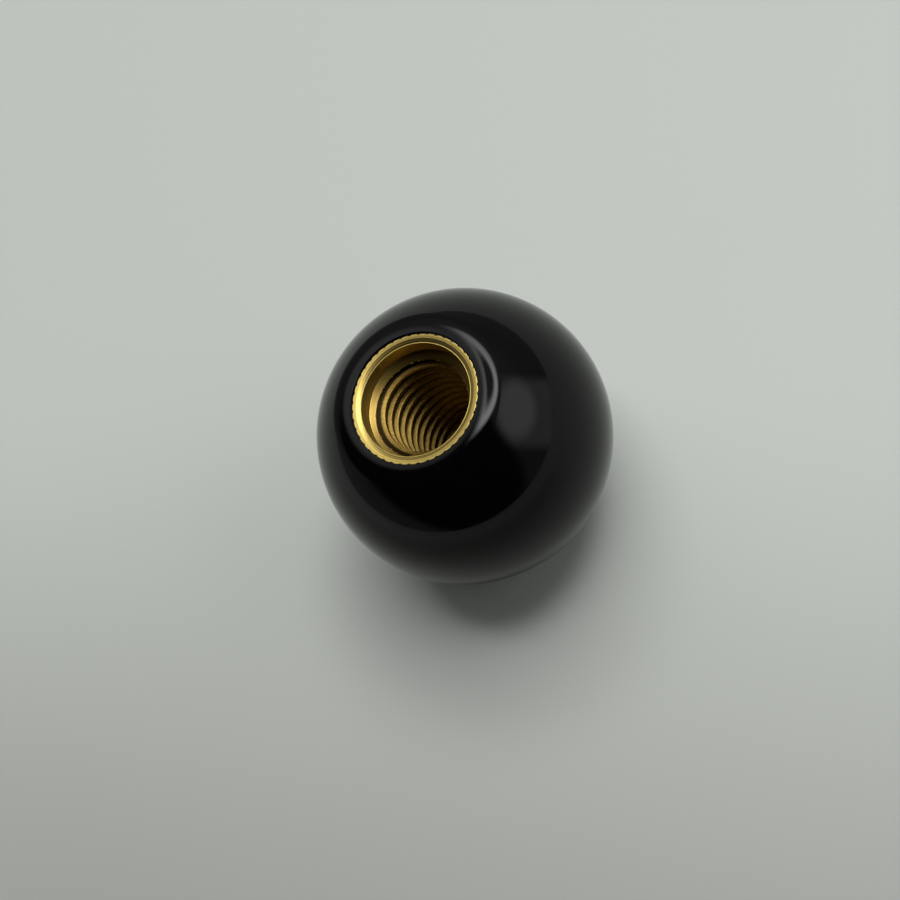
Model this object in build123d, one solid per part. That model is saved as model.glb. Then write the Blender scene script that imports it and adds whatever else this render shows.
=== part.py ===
"""Ball grip: a phenolic ball moulded round a knurled brass insert with a blind threaded hole.

Millimetres. The origin is the centre of the mouth, on the flat seat that is moulded round it.
+Z is the thread's axis and points out of the mouth. The ball hangs below the seat.
"""
import os
from math import radians, sqrt, tan

from build123d import *

# The ball and the flat seat round its mouth.
BALL_DIAMETER = 35.0
SEAT_LAND = 0.87
SEAT_EDGE_ROUND = 2.5
CROWN_WALL = 4.7

# The hole for an M12 x 1.75 thread. Its wall is at the tap drill's size.
# The counterbore was drilled first, so its wall ends in the cone of a drill's point.
TAP_DRILL_DIAMETER = 10.2
DRILL_POINT_ANGLE = 118.0
LEAD_IN_WIDTH = 1.36
COUNTERBORE_DEPTH = 2.35
MOUTH_CHAMFER_WIDTH = 0.5
MOUTH_CHAMFER_DEPTH = 0.32

# The brass round the hole.
INSERT_WALL = 0.97
INSERT_BASE = 1.4
INSERT_RECESS = 0.2
RECESS_CLEARANCE = 0.1

# What holds the brass in the ball: straight knurling, and a groove that the moulding fills.
# Between its notches each tooth keeps a part of the bar's surface as its crest.
KNURL_TEETH = 44
KNURL_DEPTH = 0.11
KNURL_CREST_SHARE = 0.5
RETAINING_GROOVE_WIDTH = 3.0
RETAINING_GROOVE_DEPTH = 0.75

# The plain end below the knurling, turned before the insert was parted from its bar.
PILOT_LENGTH = 1.2
PILOT_STEP = 0.15
PILOT_CHAMFER = 0.4

# Radii, from the thread outwards.
ball_radius = BALL_DIAMETER / 2
drill_radius = TAP_DRILL_DIAMETER / 2
counterbore_radius = drill_radius + LEAD_IN_WIDTH
insert_radius = counterbore_radius + INSERT_WALL
knurl_root_radius = insert_radius - KNURL_DEPTH
groove_radius = insert_radius - RETAINING_GROOVE_DEPTH
pilot_radius = knurl_root_radius - PILOT_STEP
recess_radius = insert_radius + RECESS_CLEARANCE
seat_radius = recess_radius + SEAT_LAND

# Heights. The seat lies where its edge round meets both the flat and the sphere.
seat_above_centre = SEAT_EDGE_ROUND + sqrt((ball_radius - SEAT_EDGE_ROUND) ** 2 - seat_radius**2)
centre_z = -seat_above_centre
crown_z = centre_z - ball_radius
insert_top_z = -INSERT_RECESS
insert_bottom_z = crown_z + CROWN_WALL
pilot_top_z = insert_bottom_z + PILOT_LENGTH
drill_point_z = insert_bottom_z + INSERT_BASE
point_slope = 1 / tan(radians(DRILL_POINT_ANGLE / 2))
bore_bottom_z = drill_point_z + drill_radius * point_slope
counterbore_bottom_z = insert_top_z - COUNTERBORE_DEPTH
bore_top_z = counterbore_bottom_z - LEAD_IN_WIDTH * point_slope


def turned(*edges):
    """A solid of revolution about the thread's axis, from the right half of its section."""
    return revolve(Plane.XZ * make_face(Wire(edges)), Axis.Z)


def chain(*points):
    """Straight edges through the points in turn."""
    return [Line(start, end) for start, end in zip(points, points[1:])]


def ball_blank():
    """The ball with its flat, and the round edge that runs from the flat into the sphere."""
    round_centre = Vector(seat_radius, -SEAT_EDGE_ROUND)
    sphere_centre = Vector(0, centre_z)
    tangent_point = sphere_centre + (round_centre - sphere_centre).normalized() * ball_radius
    widest = sphere_centre + Vector(ball_radius, 0)
    seat_edge = Vector(seat_radius, 0)
    flat = Line((0, 0), seat_edge)
    edge_round = TangentArc(seat_edge, tangent_point, tangent=(1, 0))
    shoulder = TangentArc(tangent_point, widest, tangent=edge_round % 1)
    bowl = TangentArc(widest, (0, crown_z), tangent=(0, -1))
    return turned(flat, edge_round, shoulder, bowl, Line((0, crown_z), (0, 0)))


def knurled_outline():
    """The section of the knurled bar: flat crests with V notches between. One crest is on the X axis."""
    tooth_angle = 360 / KNURL_TEETH
    half_crest = tooth_angle * KNURL_CREST_SHARE / 2
    crest_starts = PolarLocations(insert_radius, KNURL_TEETH, start_angle=-half_crest)
    crest_ends = PolarLocations(insert_radius, KNURL_TEETH, start_angle=half_crest)
    roots = PolarLocations(knurl_root_radius, KNURL_TEETH, start_angle=tooth_angle / 2)
    corners = [place.position for tooth in zip(crest_starts, crest_ends, roots) for place in tooth]
    return make_face(Polyline(*corners, close=True))


def insert_blank():
    """The outside of the insert, before its hole: the form that the ball is moulded round."""
    bar = Pos(0, 0, insert_bottom_z) * extrude(knurled_outline(), insert_top_z - insert_bottom_z)
    clear_of_knurl = insert_radius + KNURL_DEPTH
    middle_z = (insert_top_z + insert_bottom_z) / 2
    groove_top_z = middle_z + RETAINING_GROOVE_WIDTH / 2
    groove_bottom_z = middle_z - RETAINING_GROOVE_WIDTH / 2
    turned_outside = turned(
        *chain(
            (0, insert_top_z),
            (clear_of_knurl, insert_top_z),
            (clear_of_knurl, groove_top_z),
            (groove_radius, groove_top_z),
            (groove_radius, groove_bottom_z),
            (clear_of_knurl, groove_bottom_z),
            (clear_of_knurl, pilot_top_z),
            (pilot_radius, pilot_top_z),
            (pilot_radius, insert_bottom_z + PILOT_CHAMFER),
            (pilot_radius - PILOT_CHAMFER, insert_bottom_z),
            (0, insert_bottom_z),
            (0, insert_top_z),
        )
    )
    return bar & turned_outside


def hole():
    """The drilled hole with its point, the cone above it, the counterbore and the mouth chamfer."""
    chamfer_bottom_z = insert_top_z - MOUTH_CHAMFER_DEPTH
    return turned(
        *chain(
            (0, insert_top_z),
            (counterbore_radius + MOUTH_CHAMFER_WIDTH, insert_top_z),
            (counterbore_radius, chamfer_bottom_z),
            (counterbore_radius, counterbore_bottom_z),
            (drill_radius, bore_top_z),
            (drill_radius, bore_bottom_z),
            (0, drill_point_z),
            (0, insert_top_z),
        )
    )


def mouth_recess():
    """The shallow round recess in the seat, at whose bottom the brass shows."""
    return Pos(0, 0, insert_top_z) * extrude(Circle(recess_radius), INSERT_RECESS)


blank = insert_blank()
nodes = {
    "ball": ball_blank() - blank - mouth_recess(),
    "threaded_insert": blank - hole(),
}

os.makedirs("parts", exist_ok=True)
for name, shape in nodes.items():
    export_step(shape, f"parts/{name}.step")
    size = shape.bounding_box().size
    print(f"{name}: {size.X:.2f} x {size.Y:.2f} x {size.Z:.2f} mm, {shape.volume:.1f} mm3")

print(f"ball height {-crown_z:.3f} mm, seat {seat_above_centre:.3f} mm above the centre")
print(f"threaded wall: radius {drill_radius} mm, from z {bore_top_z:.3f} to {bore_bottom_z:.3f} mm")
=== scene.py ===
"""A black ball knob with a threaded brass insert, mouth up on a pale table, as in the photograph."""
from math import atan2, cos, degrees, hypot, radians, sin, tan

import bmesh
import bpy
from mathutils import Euler, Matrix, Quaternion, Vector, noise


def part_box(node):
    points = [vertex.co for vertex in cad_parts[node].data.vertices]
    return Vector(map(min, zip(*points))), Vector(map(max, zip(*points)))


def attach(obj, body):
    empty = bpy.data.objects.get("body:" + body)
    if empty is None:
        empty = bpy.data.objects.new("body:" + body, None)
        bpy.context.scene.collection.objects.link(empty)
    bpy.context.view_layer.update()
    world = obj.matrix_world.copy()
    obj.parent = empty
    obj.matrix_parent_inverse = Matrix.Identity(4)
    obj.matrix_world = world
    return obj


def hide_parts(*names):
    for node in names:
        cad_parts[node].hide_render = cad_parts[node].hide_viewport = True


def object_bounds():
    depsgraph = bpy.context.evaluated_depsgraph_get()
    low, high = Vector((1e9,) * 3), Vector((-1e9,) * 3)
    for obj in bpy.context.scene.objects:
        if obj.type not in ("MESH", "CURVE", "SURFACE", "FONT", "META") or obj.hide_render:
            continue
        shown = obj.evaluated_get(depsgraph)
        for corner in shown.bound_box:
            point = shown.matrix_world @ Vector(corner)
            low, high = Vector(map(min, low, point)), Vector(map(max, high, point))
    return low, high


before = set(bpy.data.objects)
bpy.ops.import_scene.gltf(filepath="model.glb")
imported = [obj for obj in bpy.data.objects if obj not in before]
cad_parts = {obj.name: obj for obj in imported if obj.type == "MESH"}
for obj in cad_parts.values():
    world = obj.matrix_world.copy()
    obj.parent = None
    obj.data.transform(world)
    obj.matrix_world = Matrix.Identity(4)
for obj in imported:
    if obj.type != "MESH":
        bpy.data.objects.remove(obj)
cad_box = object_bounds()
MM = 0.001


# The table. A plain sheet of matt melamine laminate, far larger than the view, on which the crown rests. It
# looks light grey with a trace of green, faintly clouded as a wiped top is. Painted shade, as of lamp light
# falling off, makes it a little darker to one side of the ball, and it is pale again outside the picture.
TABLE_RADIUS = 3000 * MM
TABLE_CORNERS = 64
TABLE_LIGHT_GREY = "#C0C5BF"
TABLE_PAINTED_SHADE_GREY = "#9B9D98"
TABLE_SHADE_BEARING = 34
TABLE_SHADE_FROM = 15 * MM
TABLE_SHADE_TO = -75 * MM
TABLE_PALES_FROM = 80 * MM
TABLE_PALES_TO = 230 * MM
TABLE_CLOUD_SIZE = 45 * MM
TABLE_CLOUD_STRENGTH = 0.06
TABLE_ROUGHNESS = 0.6
NOISE_MEAN = 0.5
SHARP_EDGE_ANGLE = 10


def linear(colour):
    """The linear values, with full alpha, of an sRGB hex colour."""
    channels = [int(colour[start : start + 2], 16) / 255 for start in (1, 3, 5)]
    return [c / 12.92 if c <= 0.04045 else ((c + 0.055) / 1.055) ** 2.4 for c in channels] + [1.0]


def add_node(tree, kind, inputs=None, **settings):
    """Adds a node with its settings. An input, by name or place, is a value or a socket to link."""
    node = tree.nodes.new(kind)
    for name, value in settings.items():
        setattr(node, name, value)
    for key, value in (inputs or {}).items():
        if isinstance(value, bpy.types.NodeSocket):
            tree.links.new(value, node.inputs[key])
        else:
            node.inputs[key].default_value = value
    return node


def new_material(name):
    """A material with only its principled shader. Gives its tree, the shader and the place on the piece."""
    material = bpy.data.materials.new(name)
    material.use_nodes = True
    tree = material.node_tree
    tree.nodes.clear()
    shader = add_node(tree, "ShaderNodeBsdfPrincipled")
    add_node(tree, "ShaderNodeOutputMaterial", {"Surface": shader.outputs["BSDF"]})
    place = add_node(tree, "ShaderNodeTexCoord").outputs["Object"]
    return material, tree, shader, place


def finished(piece, name, material):
    """Makes the modelled piece an object of that material, smooth but for its edges. Flats stay flat."""
    mesh = bpy.data.meshes.new(name)
    piece.to_mesh(mesh)
    piece.free()
    mesh.shade_smooth()
    mesh.set_sharp_from_angle(angle=radians(SHARP_EDGE_ANGLE))
    mesh.materials.append(material)
    thing = bpy.data.objects.new(name, mesh)
    bpy.context.scene.collection.objects.link(thing)
    return thing


laminate, tree, shader, place = new_material("matt_melamine_laminate")
across = {"Vector": place, "Rotation": (0, 0, radians(-TABLE_SHADE_BEARING))}
across = add_node(tree, "ShaderNodeMapping", across, vector_type="POINT").outputs[0]
across = add_node(tree, "ShaderNodeSeparateXYZ", {0: across}).outputs["X"]
# The shade is painted: the grey darkens across one side of the ball and pales again far from it.
shade = {"Value": across, "From Min": TABLE_SHADE_FROM, "From Max": TABLE_SHADE_TO}
shade = add_node(tree, "ShaderNodeMapRange", shade, interpolation_type="SMOOTHSTEP").outputs[0]
away = add_node(tree, "ShaderNodeVectorMath", {0: place}, operation="LENGTH").outputs["Value"]
near = {"Value": away, "From Min": TABLE_PALES_TO, "From Max": TABLE_PALES_FROM}
near = add_node(tree, "ShaderNodeMapRange", near, interpolation_type="SMOOTHSTEP").outputs[0]
shade = add_node(tree, "ShaderNodeMath", {0: shade, 1: near}, operation="MULTIPLY").outputs[0]
cloud = {"Vector": place, "Scale": 1 / TABLE_CLOUD_SIZE, "Detail": 3.0}
cloud = add_node(tree, "ShaderNodeTexNoise", cloud).outputs[0]
cloud = add_node(tree, "ShaderNodeMath", {0: cloud, 1: NOISE_MEAN}, operation="SUBTRACT").outputs[0]
shade = {0: cloud, 1: TABLE_CLOUD_STRENGTH, 2: shade}
shade = add_node(tree, "ShaderNodeMath", shade, operation="MULTIPLY_ADD").outputs[0]
greys = {0: shade, 6: linear(TABLE_LIGHT_GREY), 7: linear(TABLE_PAINTED_SHADE_GREY)}
grey = add_node(tree, "ShaderNodeMix", greys, data_type="RGBA").outputs[2]
tree.links.new(grey, shader.inputs["Base Color"])
shader.inputs["Roughness"].default_value = TABLE_ROUGHNESS

crown_z = cad_box[0].z
sheet = bmesh.new()
bmesh.ops.create_circle(sheet, cap_ends=True, segments=TABLE_CORNERS, radius=TABLE_RADIUS)
bmesh.ops.translate(sheet, verts=sheet.verts, vec=(0, 0, crown_z))
table_top = finished(sheet, "table_top", laminate)


# The camera. It looks down on the mouth from in front, and is rolled, so that the thread's axis leans to the
# upper left as in the photograph. Place and lens were fitted to the ball's outline and the rim's ellipse.
LENS = 48.0
SENSOR_WIDTH = 36.0
NEAREST_SEEN = 5 * MM
CAMERA_PLACE = Vector((0, -66.53, 111.01)) * MM
CAMERA_AIM = Vector((-2.34, 0.37, -14.69)) * MM
CAMERA_ROLL = 55.0

sight = CAMERA_AIM - CAMERA_PLACE
camera_turn = sight.to_track_quat("-Z", "Y") @ Quaternion((0, 0, 1), radians(-CAMERA_ROLL))
lens = bpy.data.cameras.new("camera")
lens.lens = LENS
lens.sensor_width = SENSOR_WIDTH
lens.clip_start = NEAREST_SEEN
camera = bpy.data.objects.new("camera", lens)
camera.location = CAMERA_PLACE
camera.rotation_euler = camera_turn.to_euler()
bpy.context.scene.collection.objects.link(camera)
bpy.context.scene.camera = camera
bpy.context.scene.view_settings.view_transform = "Standard"


# The studio. A dim grey room with a soft oval lamp, dark in its middle, its glow and spill, a pale reflector
# with a squarer sheen round it, and black cloth. Places and half sizes are degrees right of and above the way
# from ball to camera, as the real gloss shows them. An edge is the share of a size that it fades over.
ROOM_GREY = 0.22
BACKDROP_GREY = 0.5
GLOW_LIGHT = 0.5
GLOW_PLACE = (-15, 44)
GLOW_SIZE = (48, 32)
GLOW_EDGE = 0.5
SPILL_LIGHT = 1.4
SPILL_PLACE = (-51, 36)
SPILL_SIZE = (8, 6)
SPILL_EDGE = 0.6
LAMP_LIGHT = 6.7
LAMP_PLACE = (-14.5, 42)
LAMP_SIZE = (25.5, 18)
LAMP_EDGE = 0.2
LAMP_FOOT_LIGHT = 10.4
LAMP_FOOT_PLACE = (-14, 36.5)
LAMP_FOOT_SIZE = (24, 15)
LAMP_FOOT_EDGE = 0.24
LAMP_MIDDLE_LIGHT = 0.5
LAMP_MIDDLE_PLACE = (-21, 39.5)
LAMP_MIDDLE_SIZE = (17.5, 9.5)
LAMP_MIDDLE_EDGE = 0.42
REFLECTOR_LIGHT = 2.05
REFLECTOR_PLACE = (38, 20)
REFLECTOR_SIZE = (15, 21)
REFLECTOR_EDGE = 0.35
PANEL_CORNER_ROUND = 0.4
REFLECTOR_SHEEN_LIGHT = 0.9
REFLECTOR_SHEEN_PLACE = (47, 18)
REFLECTOR_SHEEN_SIZE = (22, 26)
REFLECTOR_SHEEN_EDGE = 0.22
CLOTH_LIGHT = 0.003
CLOTH_PLACE = (-22, -22)
CLOTH_SIZE = (75, 48)
CLOTH_EDGE = 0.1
CLOTH_TURN = -30

world = bpy.data.worlds.new("studio")
world.use_nodes = True
bpy.context.scene.world = world
room = world.node_tree
room.nodes.clear()
direction = add_node(room, "ShaderNodeTexCoord").outputs["Generated"]
facing = {"Vector": direction, "Rotation": camera_turn.to_euler()}
facing = add_node(room, "ShaderNodeMapping", facing, vector_type="TEXTURE").outputs[0]
depth = add_node(room, "ShaderNodeSeparateXYZ", {0: facing}).outputs["Z"]
angle = add_node(room, "ShaderNodeMath", {0: depth}, operation="ARCCOSINE").outputs[0]
sine = add_node(room, "ShaderNodeMath", {0: angle}, operation="SINE").outputs[0]
spread = add_node(room, "ShaderNodeMath", {0: angle, 1: sine}, operation="DIVIDE").outputs[0]
spread = add_node(room, "ShaderNodeMath", {0: spread, 1: degrees(1)}, operation="MULTIPLY").outputs[0]
sideways = add_node(room, "ShaderNodeVectorMath", {0: facing, 1: (1, 1, 0)}, operation="MULTIPLY").outputs[0]
bearing = add_node(room, "ShaderNodeVectorMath", {0: sideways, "Scale": spread}, operation="SCALE").outputs[0]


def hang(light, strength, centre, half_size, edge, turn=0, square=False):
    """Hangs an oval, or a panel, of that strength and with a soft edge in front of the light so far."""
    turned = (0, 0, radians(turn))
    oval = {"Vector": bearing, "Location": (*centre, 0), "Rotation": turned, "Scale": (*half_size, 1)}
    local = add_node(room, "ShaderNodeMapping", oval, vector_type="TEXTURE").outputs[0]
    reach = add_node(room, "ShaderNodeVectorMath", {0: local}, operation="LENGTH").outputs["Value"]
    if square:
        sides = add_node(room, "ShaderNodeVectorMath", {0: local}, operation="ABSOLUTE").outputs[0]
        sides = add_node(room, "ShaderNodeSeparateXYZ", {0: sides}).outputs
        corner_round = {0: sides["X"], 1: sides["Y"], 2: PANEL_CORNER_ROUND}
        reach = add_node(room, "ShaderNodeMath", corner_round, operation="SMOOTH_MAX").outputs[0]
    fade = {"Value": reach, "From Min": 1 + edge, "From Max": 1 - edge}
    cover = add_node(room, "ShaderNodeMapRange", fade, interpolation_type="SMOOTHSTEP").outputs[0]
    return add_node(room, "ShaderNodeMix", {0: cover, 2: light, 3: strength}, data_type="FLOAT").outputs[0]


light = add_node(room, "ShaderNodeValue").outputs[0]
light.default_value = ROOM_GREY
light = hang(light, GLOW_LIGHT, GLOW_PLACE, GLOW_SIZE, GLOW_EDGE)
light = hang(
    light,
    REFLECTOR_SHEEN_LIGHT,
    REFLECTOR_SHEEN_PLACE,
    REFLECTOR_SHEEN_SIZE,
    REFLECTOR_SHEEN_EDGE,
    square=True,
)
light = hang(light, REFLECTOR_LIGHT, REFLECTOR_PLACE, REFLECTOR_SIZE, REFLECTOR_EDGE)
light = hang(light, CLOTH_LIGHT, CLOTH_PLACE, CLOTH_SIZE, CLOTH_EDGE, CLOTH_TURN)
light = hang(light, SPILL_LIGHT, SPILL_PLACE, SPILL_SIZE, SPILL_EDGE)
light = hang(light, LAMP_LIGHT, LAMP_PLACE, LAMP_SIZE, LAMP_EDGE)
light = hang(light, LAMP_FOOT_LIGHT, LAMP_FOOT_PLACE, LAMP_FOOT_SIZE, LAMP_FOOT_EDGE)
light = hang(light, LAMP_MIDDLE_LIGHT, LAMP_MIDDLE_PLACE, LAMP_MIDDLE_SIZE, LAMP_MIDDLE_EDGE)
# The camera alone sees the plain backdrop. The gloss has to mirror the lamps, which are in this world too.
seen_by_camera = add_node(room, "ShaderNodeLightPath").outputs["Is Camera Ray"]
seen = {0: seen_by_camera, 2: light, 3: BACKDROP_GREY}
seen = add_node(room, "ShaderNodeMix", seen, data_type="FLOAT").outputs[0]
background = add_node(room, "ShaderNodeBackground", {"Color": seen})
add_node(room, "ShaderNodeOutputWorld", {"Surface": background.outputs[0]})


# The ball. One compression moulding of black phenolic, moulded round the insert and tumbled to a high gloss.
# It looks black through and through and mirrors the studio sharply. The seat round the mouth starts flat,
# falls away by a few degrees and runs into the sphere in a small round.
PHENOLIC_BLACK = "#020202"
PHENOLIC_BLOOM = "#050505"
PHENOLIC_BLOOM_SIZE = 6 * MM
PHENOLIC_GRAIN_SIZE = 0.9 * MM
PHENOLIC_GRAIN_DEPTH = 0.004 * MM
PHENOLIC_GRAIN_STRENGTH = 0.25
PHENOLIC_SMOOTHEST = 0.05
PHENOLIC_ROUGHEST = 0.08
PHENOLIC_IOR = 1.6
PHENOLIC_MIRRORING = 0.135
NOISE_LOW = 0.3
NOISE_HIGH = 0.7
BALL_DIAMETER = 35.0 * MM
SEAT_LAND = 0.34 * MM
SEAT_FALL_ROUND = 10 * MM
SEAT_FALL_ANGLE = radians(3)
RECESS_CLEARANCE = 0.1 * MM
RECESS_EDGE_ROUND = 0.06 * MM
KNURL_TEETH = 44
KNURL_DEPTH = 0.11 * MM
STEPS_PER_TOOTH = 4
TURN_STEP = radians(360) / (KNURL_TEETH * STEPS_PER_TOOTH)
GROOVE_WIDTH = 3.0 * MM
GROOVE_DEPTH = 0.75 * MM
PILOT_LENGTH = 1.2 * MM
PILOT_STEP = 0.15 * MM
PILOT_CHAMFER = 0.4 * MM
SMALL_ROUND_STEPS = 4
SEAT_EDGE_STEPS = 20
SPHERE_STEPS = 96
WELD = 0.0005 * MM


def line_to(section, corner, radius, height):
    """Draws the section of a turned piece on by a straight edge. Gives the edge's far corner."""
    far = bmesh.ops.extrude_vert_indiv(section, verts=[corner])["verts"][0]
    far.co = (radius, 0, height)
    return far


def arc_to(section, corner, centre_radius, centre_height, turn, steps):
    """Draws the section on by an arc round that centre, clockwise from the front. Gives its far corner."""
    arc = bmesh.ops.spin(
        section,
        geom=[corner],
        cent=(centre_radius, 0, centre_height),
        axis=(0, 1, 0),
        angle=turn,
        steps=steps,
    )
    return arc["geom_last"][0]


def turn_solid(section):
    """Turns the section about the thread's axis into a closed solid, in steps that suit the knurling."""
    outline = section.verts[:] + section.edges[:]
    steps = KNURL_TEETH * STEPS_PER_TOOTH
    bmesh.ops.spin(
        section, geom=outline, cent=(0, 0, 0), axis=(0, 0, 1), angle=radians(360), steps=steps, use_merge=True
    )
    bmesh.ops.remove_doubles(section, verts=section.verts, dist=WELD)
    bmesh.ops.recalc_face_normals(section, faces=section.faces)


def knurl(solid, radius):
    """Presses a V notch between each two teeth into the walls of that radius. A crest lies on the X axis."""
    for corner in solid.verts:
        reach = hypot(corner.co.x, corner.co.y)
        place = round(atan2(corner.co.y, corner.co.x) / TURN_STEP) % STEPS_PER_TOOTH
        if abs(reach - radius) < WELD and place == STEPS_PER_TOOTH // 2:
            corner.co.x *= 1 - KNURL_DEPTH / reach
            corner.co.y *= 1 - KNURL_DEPTH / reach


# A crest of the knurling is a flat between two corners, so the box ends a little inside the radius.
insert_low, insert_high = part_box("threaded_insert")
insert_radius = insert_high.x / cos(TURN_STEP)
insert_top = insert_high.z
insert_bottom = insert_low.z
groove_top = (insert_top + insert_bottom + GROOVE_WIDTH) / 2
groove_bottom = groove_top - GROOVE_WIDTH
groove_radius = insert_radius - GROOVE_DEPTH
pilot_radius = insert_radius - KNURL_DEPTH - PILOT_STEP
pilot_top = insert_bottom + PILOT_LENGTH


def draw_insert_outside(section, corner):
    """Draws the insert's outside from the top of its knurling down to its axis. Both pieces share it."""
    corner = line_to(section, corner, insert_radius, groove_top)
    corner = line_to(section, corner, groove_radius, groove_top)
    corner = line_to(section, corner, groove_radius, groove_bottom)
    corner = line_to(section, corner, insert_radius, groove_bottom)
    corner = line_to(section, corner, insert_radius, pilot_top)
    corner = line_to(section, corner, pilot_radius, pilot_top)
    corner = line_to(section, corner, pilot_radius, insert_bottom + PILOT_CHAMFER)
    corner = line_to(section, corner, pilot_radius - PILOT_CHAMFER, insert_bottom)
    line_to(section, corner, 0, insert_bottom)


seat_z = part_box("ball")[1].z
ball_radius = BALL_DIAMETER / 2
recess_radius = insert_radius + RECESS_CLEARANCE
land_radius = recess_radius + SEAT_LAND
centre_z = crown_z + ball_radius

ball_section = bmesh.new()
corner = ball_section.verts.new((insert_radius, 0, insert_top))
draw_insert_outside(ball_section, corner)
corner = line_to(ball_section, corner, recess_radius, insert_top)
corner = line_to(ball_section, corner, recess_radius, seat_z - RECESS_EDGE_ROUND)
recess_edge = (recess_radius + RECESS_EDGE_ROUND, seat_z - RECESS_EDGE_ROUND)
corner = arc_to(ball_section, corner, *recess_edge, radians(90), SMALL_ROUND_STEPS)
corner = line_to(ball_section, corner, land_radius, seat_z)
fall_centre_z = seat_z - SEAT_FALL_ROUND
corner = arc_to(ball_section, corner, land_radius, fall_centre_z, SEAT_FALL_ANGLE, SMALL_ROUND_STEPS)
# The edge's round is as large as lets it touch both the falling seat and the sphere.
outward = Vector((sin(SEAT_FALL_ANGLE), 0, cos(SEAT_FALL_ANGLE)))
from_centre = corner.co - Vector((0, 0, centre_z))
edge_round = (ball_radius**2 - from_centre.length_squared) / (2 * (ball_radius - from_centre.dot(outward)))
round_centre = corner.co - outward * edge_round
sphere_angle = atan2(round_centre.x, round_centre.z - centre_z)
edge_turn = sphere_angle - SEAT_FALL_ANGLE
corner = arc_to(ball_section, corner, round_centre.x, round_centre.z, edge_turn, SEAT_EDGE_STEPS)
arc_to(ball_section, corner, 0, centre_z, radians(180) - sphere_angle, SPHERE_STEPS)
turn_solid(ball_section)
knurl(ball_section, insert_radius)

phenolic, tree, shader, place = new_material("tumbled_black_phenolic")
bloom = {"Vector": place, "Scale": 1 / PHENOLIC_BLOOM_SIZE, "Detail": 4.0, "Roughness": 0.6}
bloom = add_node(tree, "ShaderNodeTexNoise", bloom).outputs[0]
blacks = {0: bloom, 6: linear(PHENOLIC_BLACK), 7: linear(PHENOLIC_BLOOM)}
black = add_node(tree, "ShaderNodeMix", blacks, data_type="RGBA").outputs[2]
gloss = {"Value": bloom, "From Min": NOISE_LOW, "From Max": NOISE_HIGH}
gloss |= {"To Min": PHENOLIC_SMOOTHEST, "To Max": PHENOLIC_ROUGHEST}
gloss = add_node(tree, "ShaderNodeMapRange", gloss).outputs[0]
grain = {"Vector": place, "Scale": 1 / PHENOLIC_GRAIN_SIZE, "Detail": 2.0}
grain = add_node(tree, "ShaderNodeTexNoise", grain).outputs[0]
skin = {"Height": grain, "Strength": PHENOLIC_GRAIN_STRENGTH, "Distance": PHENOLIC_GRAIN_DEPTH}
skin = add_node(tree, "ShaderNodeBump", skin).outputs[0]
tree.links.new(black, shader.inputs["Base Color"])
tree.links.new(gloss, shader.inputs["Roughness"])
tree.links.new(skin, shader.inputs["Normal"])
shader.inputs["IOR"].default_value = PHENOLIC_IOR
# It mirrors less than real phenolic, because the photograph's tone curve deepens the mirrored table.
shader.inputs["Specular IOR Level"].default_value = PHENOLIC_MIRRORING

ball = finished(ball_section, "phenolic_ball", phenolic)
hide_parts("ball")
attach(ball, "root")


# The threaded insert. Turned from knurled brass bar, drilled, counterbored with a pointed drill and tapped
# M12 x 1.75, right hand, with shallow last turns. Turned faces shine in fine rings. The tap tore the flanks a
# little and left burrs on the cone. The roots, and the brass in the hole, are darkened with painted shade.
BRASS = "#E0C878"
BRASS_STAINED = "#D2B866"
FACE_BRASS = "#BAA35B"
# The brass in the hole is painted darker than outside, as shade in the recess.
SHADED_BORED_BRASS = "#967C42"
# Near-black painted shade for the thread's roots.
PAINTED_SHADE_ROOT = "#2A210F"
SHADED_DRILLED_WALL = "#94752F"
# Real tool marks are finer. They are drawn as wide as they need to be to show.
TOOL_MARK_WIDTH = 0.18 * MM
TOOL_MARK_DEPTH = 0.006 * MM
TOOL_MARK_STRENGTH = 0.5
STREAK_DARKEST = 0.66
STREAK_LIGHTEST = 1.18
STAIN_SIZE = 1.5 * MM
TEAR_SIZE = 0.25 * MM
TEAR_DEPTH = 0.035 * MM
TURNED_SMOOTHEST = 0.28
TURNED_ROUGHEST = 0.42
ROUGHER_IN_THREAD = 0.14
BRASS_ANISOTROPY = 0.35
BRASS_ANISOTROPY_TURN = 0.25
ROOT_SHADE_FROM = 5.4 * MM
ROOT_SHADE_TO = 5.56 * MM
WALL_TINT_FROM = 0.06 * MM
WALL_TINT_TO = 0.03 * MM
EDGE_TINT_FROM = 0.01 * MM
EDGE_TINT_TO = 0.06 * MM
CONE_CLEAR_FROM = 0.015 * MM
CONE_CLEAR_TO = 0.045 * MM
THREAD_TINT_FROM = 1.02
THREAD_TINT_TO = 1.005
DRILL_RADIUS = 5.1 * MM
DRILL_POINT_ANGLE = 118
LEAD_IN_WIDTH = 1.36 * MM
COUNTERBORE_DEPTH = 2.35 * MM
MOUTH_CHAMFER_WIDTH = 0.5 * MM
MOUTH_CHAMFER_DEPTH = 0.32 * MM
MOUTH_LAND = 0.08 * MM
INSERT_BASE = 1.4 * MM
FACE_DISH = 0.02 * MM
EDGE_BREAK = 0.045 * MM
EDGE_BREAK_STEPS = 2
BURR_SIZE = 0.2 * MM
BURR_ROOT = BURR_SIZE / 4
SMALLEST_BURR = BURR_SIZE / 10
BURR_SHAPE = (1, 0.6, 0.4)
BURR_SPACING = 0.3 * MM
THREAD_PITCH = 1.75 * MM
THREAD_RADIUS = 6.0 * MM
THREAD_FLANK_ANGLE = 30
TAP_CORE_RADIUS = 4.75 * MM
TAP_STEPS = 144
TAP_CLEARANCE = 0.05 * MM
TAP_TURNS = 12
FULL_THREAD_DEPTH = 20.8 * MM
TAP_TAPER = 0.45
THREAD_START = 68
TORN_EDGE_FROM = 1.01
ON_CONE_WITHIN = 2 * WELD

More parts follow.
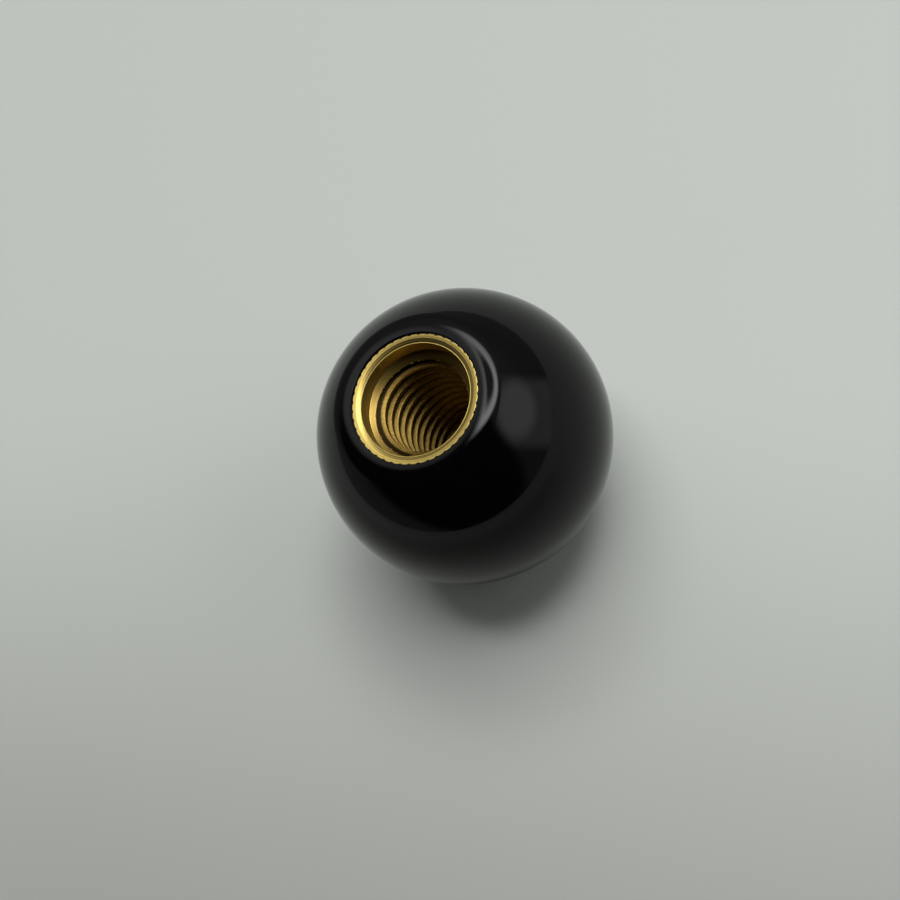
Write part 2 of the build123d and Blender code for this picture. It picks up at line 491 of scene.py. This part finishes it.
counterbore_radius = DRILL_RADIUS + LEAD_IN_WIDTH
counterbore_bottom = insert_top - COUNTERBORE_DEPTH
chamfer_radius = counterbore_radius + MOUTH_CHAMFER_WIDTH
chamfer_bottom = insert_top - MOUTH_CHAMFER_DEPTH
drill_point = insert_bottom + INSERT_BASE
point_slope = 1 / tan(radians(DRILL_POINT_ANGLE / 2))

insert_section = bmesh.new()
corner = insert_section.verts.new((insert_radius, 0, insert_top))
draw_insert_outside(insert_section, corner)
corner = line_to(insert_section, corner, chamfer_radius, insert_top - FACE_DISH)
land_z = chamfer_bottom + MOUTH_LAND * MOUTH_CHAMFER_DEPTH / MOUTH_CHAMFER_WIDTH
corner = line_to(insert_section, corner, counterbore_radius + MOUTH_LAND, land_z)
corner = line_to(insert_section, corner, counterbore_radius, land_z)
corner = line_to(insert_section, corner, counterbore_radius, counterbore_bottom)
corner = line_to(insert_section, corner, DRILL_RADIUS, counterbore_bottom - LEAD_IN_WIDTH * point_slope)
corner = line_to(insert_section, corner, DRILL_RADIUS, drill_point + DRILL_RADIUS * point_slope)
line_to(insert_section, corner, 0, drill_point)
turn_solid(insert_section)
knurl(insert_section, insert_radius)


def break_edge(solid, radius, height, reach=WELD):
    """Breaks the round edge of that radius and height, as a file held to the turning piece does."""

    def on_ring(end):
        return abs(end.co.z - height) < WELD and abs(hypot(end.co.x, end.co.y) - radius) < reach

    bmesh.ops.bevel(
        solid,
        geom=[edge for edge in solid.edges if all(on_ring(end) for end in edge.verts)],
        offset=EDGE_BREAK,
        offset_type="OFFSET",
        affect="EDGES",
        segments=EDGE_BREAK_STEPS,
        profile=0.5,
        material=-1,
    )


break_edge(insert_section, insert_radius, insert_top, KNURL_DEPTH + WELD)
break_edge(insert_section, chamfer_radius, insert_top - FACE_DISH)

tap = bmesh.new()
# The tap's teeth are flat at the tip, over an eighth of the pitch, as those of a metric thread are.
tip_half = THREAD_PITCH / 16
flank_height = (THREAD_RADIUS - TAP_CORE_RADIUS) * tan(radians(THREAD_FLANK_ANGLE))
tap_top = counterbore_bottom + THREAD_PITCH / 2
foot = tap_top - TAP_TURNS * THREAD_PITCH
corner = tap.verts.new((TAP_CORE_RADIUS, 0, foot - tip_half - flank_height))
for tooth in range(TAP_TURNS):
    middle = foot + tooth * THREAD_PITCH
    corner = line_to(tap, corner, THREAD_RADIUS, middle - tip_half)
    corner = line_to(tap, corner, THREAD_RADIUS, middle + tip_half)
    corner = line_to(tap, corner, TAP_CORE_RADIUS, middle + tip_half + flank_height)
    corner = line_to(tap, corner, TAP_CORE_RADIUS, middle + THREAD_PITCH - tip_half - flank_height)
bmesh.ops.spin(
    tap,
    geom=tap.verts[:] + tap.edges[:],
    cent=(0, 0, 0),
    axis=(0, 0, 1),
    dvec=(0, 0, THREAD_PITCH / TAP_STEPS),
    angle=radians(360),
    steps=TAP_STEPS,
)
bmesh.ops.remove_doubles(tap, verts=tap.verts, dist=WELD)
# Each end of the helical shell is closed to a point on its axis. Neither end touches the brass.
between_ends = foot + 3 * THREAD_PITCH
for end_height, above in ((foot - THREAD_PITCH, False), (tap_top + THREAD_PITCH, True)):
    rim = [edge for edge in tap.edges if edge.is_boundary and (edge.verts[0].co.z > between_ends) == above]
    cap = bmesh.ops.extrude_edge_only(tap, edges=rim)
    tip = [corner for corner in cap["geom"] if isinstance(corner, bmesh.types.BMVert)]
    bmesh.ops.pointmerge(tap, verts=tip, merge_co=(0, 0, end_height))
# The taper makes the last turns shallow, and the clearance keeps the teeth off the hole's pointed bottom.
full_thread_foot = insert_top - FULL_THREAD_DEPTH
for corner in tap.verts:
    reach = hypot(corner.co.x, corner.co.y)
    limit = THREAD_RADIUS - max(0, full_thread_foot - corner.co.z) * TAP_TAPER
    limit = max(limit, TAP_CORE_RADIUS)
    limit = min(limit, (corner.co.z - drill_point) / point_slope - TAP_CLEARANCE)
    if reach > limit:
        corner.co.x *= limit / reach
        corner.co.y *= limit / reach
start_turn = Quaternion((0, 0, 1), radians(THREAD_START)).to_matrix()
bmesh.ops.rotate(tap, verts=tap.verts, cent=(0, 0, 0), matrix=start_turn)
bmesh.ops.recalc_face_normals(tap, faces=tap.faces)

brass, tree, shader, place = new_material("turned_free_cutting_brass")
place_parts = add_node(tree, "ShaderNodeSeparateXYZ", {0: place})
flat_place = add_node(tree, "ShaderNodeVectorMath", {0: place, 1: (1, 1, 0)}, operation="MULTIPLY").outputs[0]
radius = add_node(tree, "ShaderNodeVectorMath", {0: flat_place}, operation="LENGTH").outputs["Value"]
lathe_place = add_node(tree, "ShaderNodeCombineXYZ", {"X": radius, "Y": place_parts.outputs["Z"]}).outputs[0]
marks = {"Vector": lathe_place, "Scale": 1 / TOOL_MARK_WIDTH, "Detail": 2.0, "Roughness": 0.6}
marks = add_node(tree, "ShaderNodeTexNoise", marks, noise_dimensions="2D").outputs[0]
stain = {"Vector": place, "Scale": 1 / STAIN_SIZE, "Detail": 3.0}
stain = add_node(tree, "ShaderNodeTexNoise", stain).outputs[0]
golds = {0: stain, 6: linear(BRASS), 7: linear(BRASS_STAINED)}
gold = add_node(tree, "ShaderNodeMix", golds, data_type="RGBA").outputs[2]
cone_height = {0: radius, 1: point_slope, 2: counterbore_bottom - counterbore_radius * point_slope}
cone_height = add_node(tree, "ShaderNodeMath", cone_height, operation="MULTIPLY_ADD").outputs[0]
below_cone = {0: cone_height, 1: place_parts.outputs["Z"]}
below_cone = add_node(tree, "ShaderNodeMath", below_cone, operation="SUBTRACT").outputs[0]
below_cone = {"Value": below_cone, "From Min": CONE_CLEAR_FROM, "From Max": CONE_CLEAR_TO}
below_cone = add_node(tree, "ShaderNodeMapRange", below_cone).outputs[0]
in_thread = {"From Min": THREAD_RADIUS * THREAD_TINT_FROM, "From Max": THREAD_RADIUS * THREAD_TINT_TO}
in_thread = add_node(tree, "ShaderNodeMapRange", {"Value": radius, **in_thread}).outputs[0]
in_thread = add_node(tree, "ShaderNodeMath", {0: in_thread, 1: below_cone}, operation="MULTIPLY").outputs[0]
# Painted shade: the thread's roots and outer flanks turn near black.
in_shaded_root = {"Value": radius, "From Min": ROOT_SHADE_FROM, "From Max": ROOT_SHADE_TO}
in_shaded_root = add_node(tree, "ShaderNodeMapRange", in_shaded_root).outputs[0]
on_wall = {"From Min": DRILL_RADIUS + WALL_TINT_FROM, "From Max": DRILL_RADIUS + WALL_TINT_TO}
on_wall = add_node(tree, "ShaderNodeMapRange", {"Value": radius, **on_wall}).outputs[0]
tapped = {0: in_shaded_root, 6: linear(SHADED_BORED_BRASS), 7: linear(PAINTED_SHADE_ROOT)}
tapped = add_node(tree, "ShaderNodeMix", tapped, data_type="RGBA").outputs[2]
# The crests keep the hole's painted shade, in a more orange tone.
tapped = {0: on_wall, 6: tapped, 7: linear(SHADED_DRILLED_WALL)}
tapped = add_node(tree, "ShaderNodeMix", tapped, data_type="RGBA").outputs[2]
# Painted shade: inside the bore the brass turns darker.
in_bore = {"From Min": counterbore_radius - EDGE_TINT_FROM, "From Max": counterbore_radius - EDGE_TINT_TO}
in_bore = add_node(tree, "ShaderNodeMapRange", {"Value": radius, **in_bore}).outputs[0]
on_face = {"From Min": counterbore_radius + EDGE_TINT_FROM, "From Max": counterbore_radius + EDGE_TINT_TO}
on_face = add_node(tree, "ShaderNodeMapRange", {"Value": radius, **on_face}).outputs[0]
golds = {0: on_face, 6: gold, 7: linear(FACE_BRASS)}
gold = add_node(tree, "ShaderNodeMix", golds, data_type="RGBA").outputs[2]
golds = {0: in_bore, 6: gold, 7: linear(SHADED_BORED_BRASS)}
gold = add_node(tree, "ShaderNodeMix", golds, data_type="RGBA").outputs[2]
golds = {0: in_thread, 6: gold, 7: tapped}
gold = add_node(tree, "ShaderNodeMix", golds, data_type="RGBA").outputs[2]
torn = {"Vector": place, "Scale": 1 / TEAR_SIZE, "Detail": 3.0, "Roughness": 0.6}
torn = add_node(tree, "ShaderNodeTexNoise", torn).outputs[0]
streaks = add_node(tree, "ShaderNodeMix", {0: in_thread, 2: marks, 3: torn}, data_type="FLOAT").outputs[0]
streaks = {"Value": streaks, "From Min": NOISE_LOW, "From Max": NOISE_HIGH}
streaks |= {"To Min": STREAK_DARKEST, "To Max": STREAK_LIGHTEST}
streaks = add_node(tree, "ShaderNodeMapRange", streaks).outputs[0]
golds = {0: 1.0, 6: gold, 7: streaks}
gold = add_node(tree, "ShaderNodeMix", golds, data_type="RGBA", blend_type="MULTIPLY").outputs[2]
sheen = {"Value": marks, "From Min": NOISE_LOW, "From Max": NOISE_HIGH}
sheen |= {"To Min": TURNED_SMOOTHEST, "To Max": TURNED_ROUGHEST}
sheen = add_node(tree, "ShaderNodeMapRange", sheen).outputs[0]
sheen = {0: in_thread, 1: ROUGHER_IN_THREAD, 2: sheen}
sheen = add_node(tree, "ShaderNodeMath", sheen, operation="MULTIPLY_ADD").outputs[0]
cut = {"Height": marks, "Strength": TOOL_MARK_STRENGTH, "Distance": TOOL_MARK_DEPTH}
cut = add_node(tree, "ShaderNodeBump", cut).outputs[0]
torn_skin = {"Height": torn, "Strength": in_thread, "Distance": TEAR_DEPTH, "Normal": cut}
torn_skin = add_node(tree, "ShaderNodeBump", torn_skin).outputs[0]
along = add_node(tree, "ShaderNodeTangent", direction_type="RADIAL", axis="Z").outputs[0]
tree.links.new(gold, shader.inputs["Base Color"])
tree.links.new(sheen, shader.inputs["Roughness"])
tree.links.new(torn_skin, shader.inputs["Normal"])
tree.links.new(along, shader.inputs["Tangent"])
shader.inputs["Metallic"].default_value = 1.0
shader.inputs["Anisotropic"].default_value = BRASS_ANISOTROPY
shader.inputs["Anisotropic Rotation"].default_value = BRASS_ANISOTROPY_TURN


def combined(operation, solid, tool):
    """Takes the tool from the solid, or joins it on, and removes both. Gives the result to model on with."""
    change = solid.modifiers.new("change", "BOOLEAN")
    change.operation = operation
    change.solver = "EXACT"
    # The burrs that are joined on overlap each other too.
    change.use_self = operation == "UNION"
    change.object = tool
    result = bmesh.new()
    depsgraph = bpy.context.evaluated_depsgraph_get()
    result.from_mesh(bpy.data.meshes.new_from_object(solid.evaluated_get(depsgraph)))
    bmesh.ops.remove_doubles(result, verts=result.verts, dist=WELD)
    for spare in (solid, tool):
        bpy.data.objects.remove(spare)
    return result


blank = finished(insert_section, "insert_blank", brass)
tapped_solid = combined("DIFFERENCE", blank, finished(tap, "tap", brass))
burrs = bmesh.new()
for corner in tapped_solid.verts:
    reach = hypot(corner.co.x, corner.co.y)
    cone_z = counterbore_bottom - (counterbore_radius - reach) * point_slope
    burr = noise.noise(corner.co / BURR_SPACING) * BURR_SIZE
    on_cone = abs(corner.co.z - cone_z) < ON_CONE_WITHIN
    on_torn_edge = on_cone and TORN_EDGE_FROM * DRILL_RADIUS < reach < THREAD_RADIUS
    if on_torn_edge and burr > SMALLEST_BURR:
        lump = Matrix.LocRotScale(corner.co, Euler(corner.co / BURR_SPACING), BURR_SHAPE)
        bmesh.ops.create_icosphere(burrs, subdivisions=1, radius=BURR_ROOT + burr, matrix=lump)
tapped_insert = finished(tapped_solid, "tapped_insert", brass)
burred_solid = combined("UNION", tapped_insert, finished(burrs, "burrs", brass))
insert = finished(burred_solid, "brass_insert", brass)
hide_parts("threaded_insert")
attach(insert, "root")
